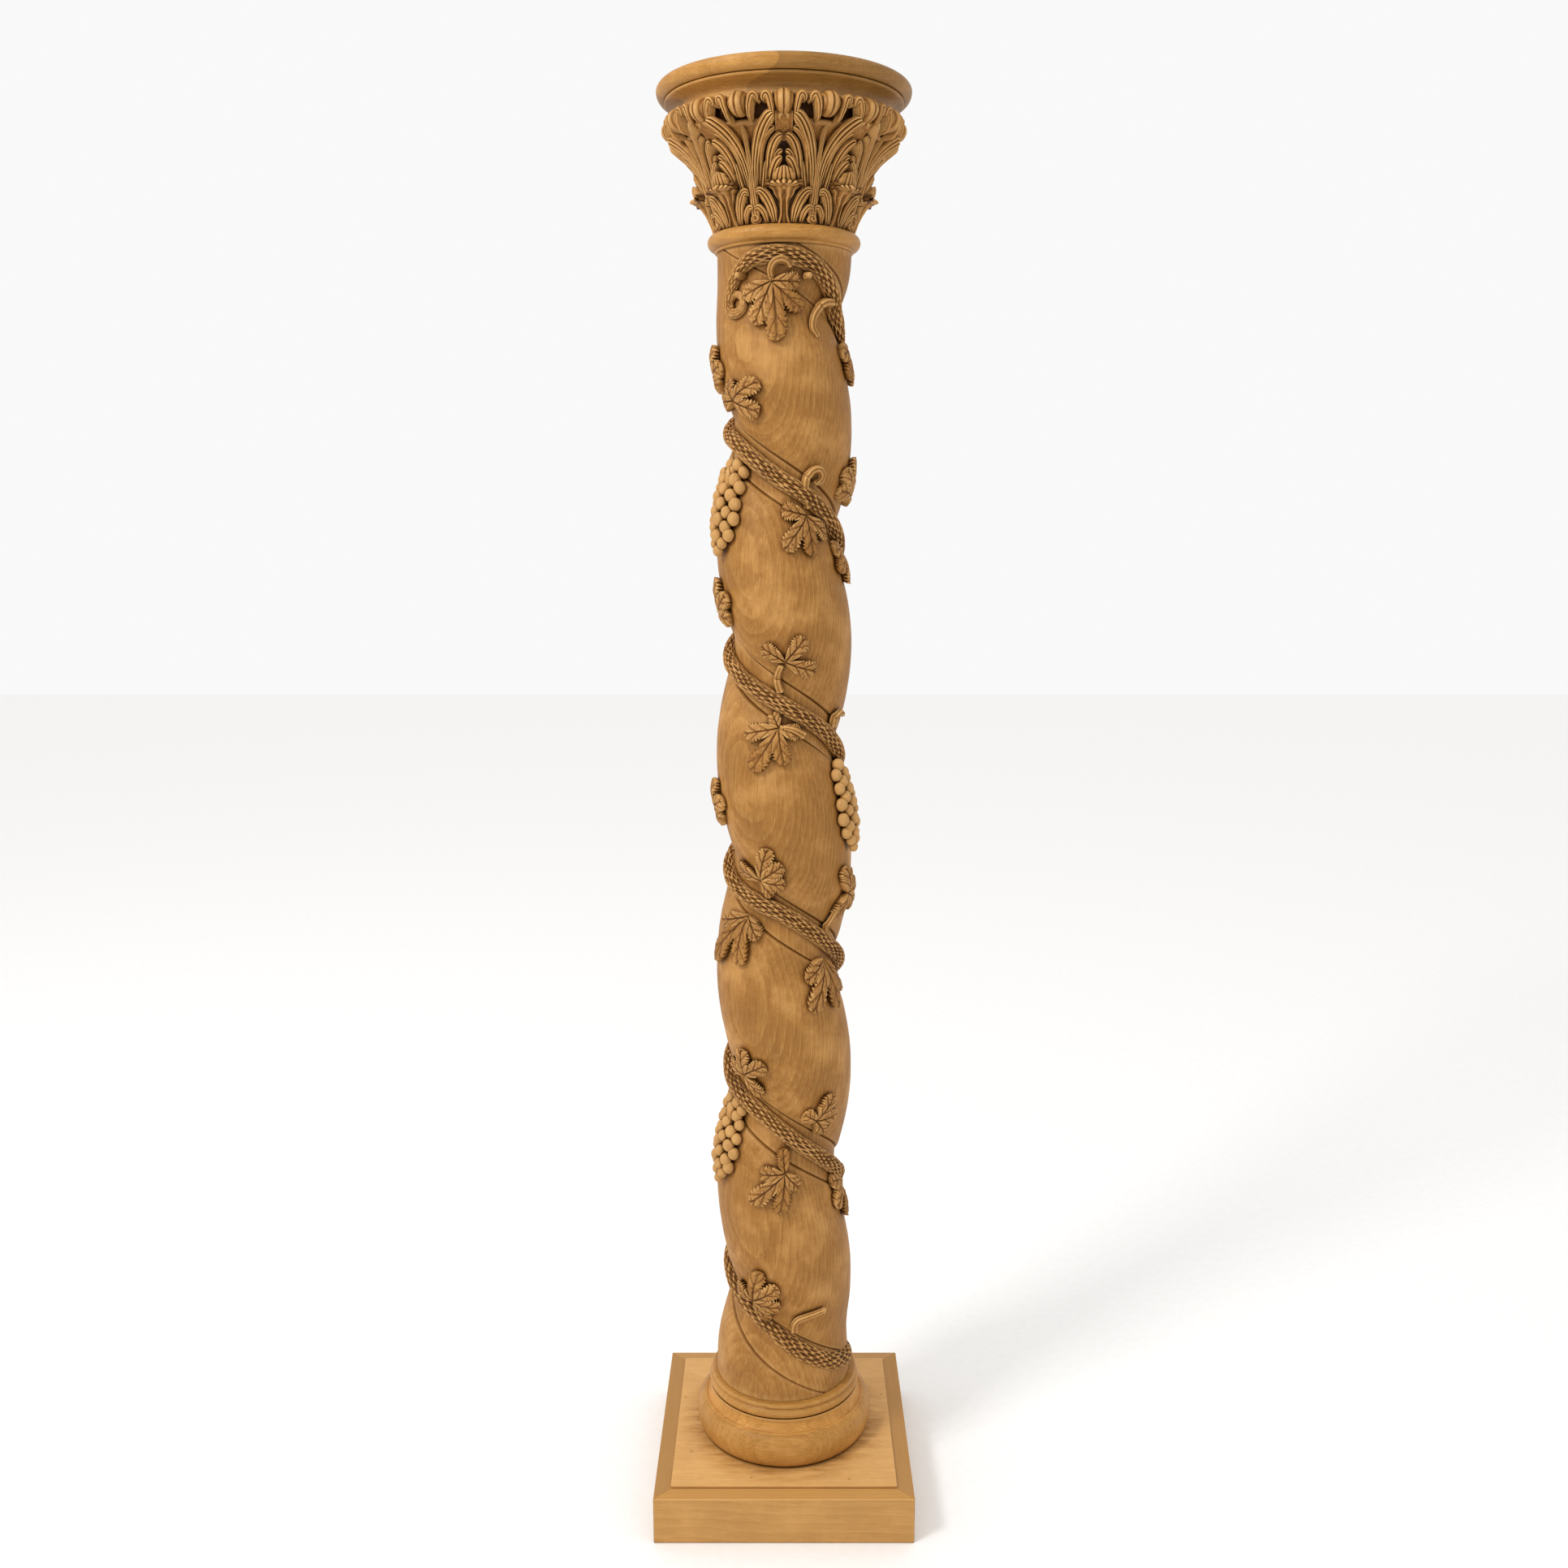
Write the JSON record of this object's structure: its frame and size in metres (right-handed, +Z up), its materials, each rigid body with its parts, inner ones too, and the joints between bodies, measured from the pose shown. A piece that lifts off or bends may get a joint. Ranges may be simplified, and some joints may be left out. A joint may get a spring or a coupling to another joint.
{
  "type": "carved column",
  "caption": "Wooden column with a twisted shaft, a carved vine with leaves and grapes, a leaf capital under a round cap, a turned base and a square plinth.",
  "frame": {"origin": "centre of the plinth's underside, on the floor", "axes": "+Z up along the column's axis, -Y the front side of the plinth, +X to the right seen from the front"},
  "size_m": [0.44, 0.44, 2.3563],
  "materials": {
    "plinth_wood": "planed and waxed, satin",
    "panel_wood": "planed, paler, satin",
    "turned_wood": "turned and waxed, satin",
    "carved_wood": "carved, waxed, darker in the recesses"
  },
  "bodies": {
    "root": {"plinth": "plinth_wood", "plinth_panel": "panel_wood", "base": "turned_wood", "shaft": "carved_wood", "astragal": "turned_wood", "capital": "carved_wood", "abacus": "turned_wood"}
  },
  "joints": []
}
